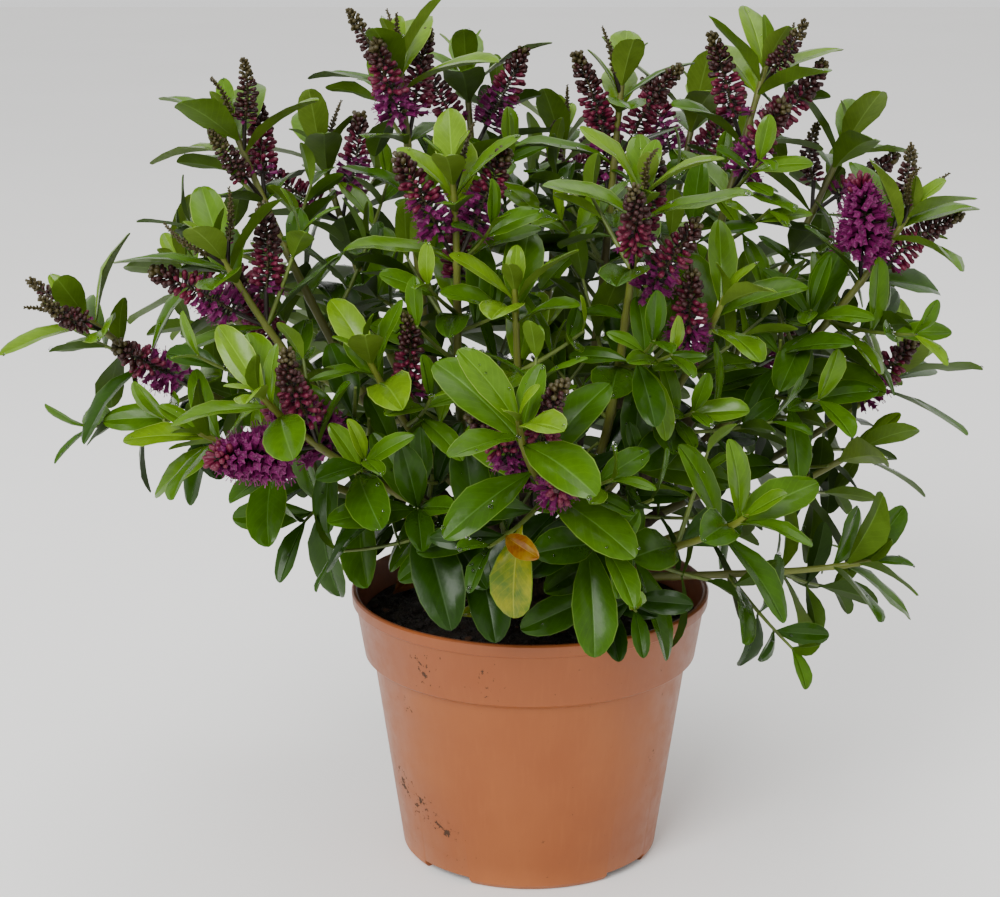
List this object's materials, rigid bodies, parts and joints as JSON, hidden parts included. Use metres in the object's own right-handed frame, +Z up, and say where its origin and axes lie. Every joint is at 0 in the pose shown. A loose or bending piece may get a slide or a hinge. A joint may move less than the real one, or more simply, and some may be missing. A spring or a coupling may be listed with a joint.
{
  "type": "potted hebe shrub",
  "caption": "Flowering hebe shrub with whorls of leaves and purple flower spikes on many stems, in a round terracotta-coloured plastic pot.",
  "frame": {"origin": "middle of the pot's flat underside, at the level of the surface that it stands on", "axes": "+Z up, -Y towards the front that the picture shows, +X to the picture's right"},
  "size_m": [0.4533, 0.4162, 0.4071],
  "materials": {
    "terracotta_plastic": "satin moulded plastic",
    "potting_soil": "loose moist bark and peat mix",
    "hebe_bark": "smooth young bark",
    "hebe_foliage": "waxy leaves"
  },
  "bodies": {
    "root": {"pot": "terracotta_plastic", "soil": "potting_soil", "trunk": "hebe_bark", "bough_back_left": "hebe_bark", "bough_back_left_outer": "hebe_bark", "bough_back_low_left": "hebe_bark", "bough_back_low_right": "hebe_bark", "bough_back_mid": "hebe_bark", "bough_back_right": "hebe_bark", "bough_back_right_low": "hebe_bark", "bough_front_low": "hebe_bark", "bough_front_right_tall": "hebe_bark", "bough_front_tall": "hebe_bark", "bough_inner_front": "hebe_bark", "bough_inner_left": "hebe_bark", "bough_inner_right": "hebe_bark", "bough_left_front": "hebe_bark", "bough_left_high": "hebe_bark", "bough_left_low": "hebe_bark", "bough_left_mid": "hebe_bark", "bough_left_outer": "hebe_bark", "bough_right_back_high": "hebe_bark", "bough_right_front": "hebe_bark", "bough_right_inner": "hebe_bark", "bough_right_low": "hebe_bark", "bough_right_mid": "hebe_bark", "bough_right_outer": "hebe_bark", "bough_top_left": "hebe_bark", "bough_top_left_back": "hebe_bark", "bough_top_mid": "hebe_bark", "bough_top_right": "hebe_bark", "foliage_back_left": "hebe_foliage", "foliage_back_left_outer": "hebe_foliage", "foliage_back_low_left": "hebe_foliage", "foliage_back_low_right": "hebe_foliage", "foliage_back_mid": "hebe_foliage", "foliage_back_right": "hebe_foliage", "foliage_back_right_low": "hebe_foliage", "foliage_front_low": "hebe_foliage", "foliage_front_right_tall": "hebe_foliage", "foliage_front_tall": "hebe_foliage", "foliage_inner_front": "hebe_foliage", "foliage_inner_left": "hebe_foliage", "foliage_inner_right": "hebe_foliage", "foliage_left_front": "hebe_foliage", "foliage_left_high": "hebe_foliage", "foliage_left_low": "hebe_foliage", "foliage_left_mid": "hebe_foliage", "foliage_left_outer": "hebe_foliage", "foliage_right_back_high": "hebe_foliage", "foliage_right_front": "hebe_foliage", "foliage_right_inner": "hebe_foliage", "foliage_right_low": "hebe_foliage", "foliage_right_mid": "hebe_foliage", "foliage_right_outer": "hebe_foliage", "foliage_top_left": "hebe_foliage", "foliage_top_left_back": "hebe_foliage", "foliage_top_mid": "hebe_foliage", "foliage_top_right": "hebe_foliage"}
  },
  "joints": []
}
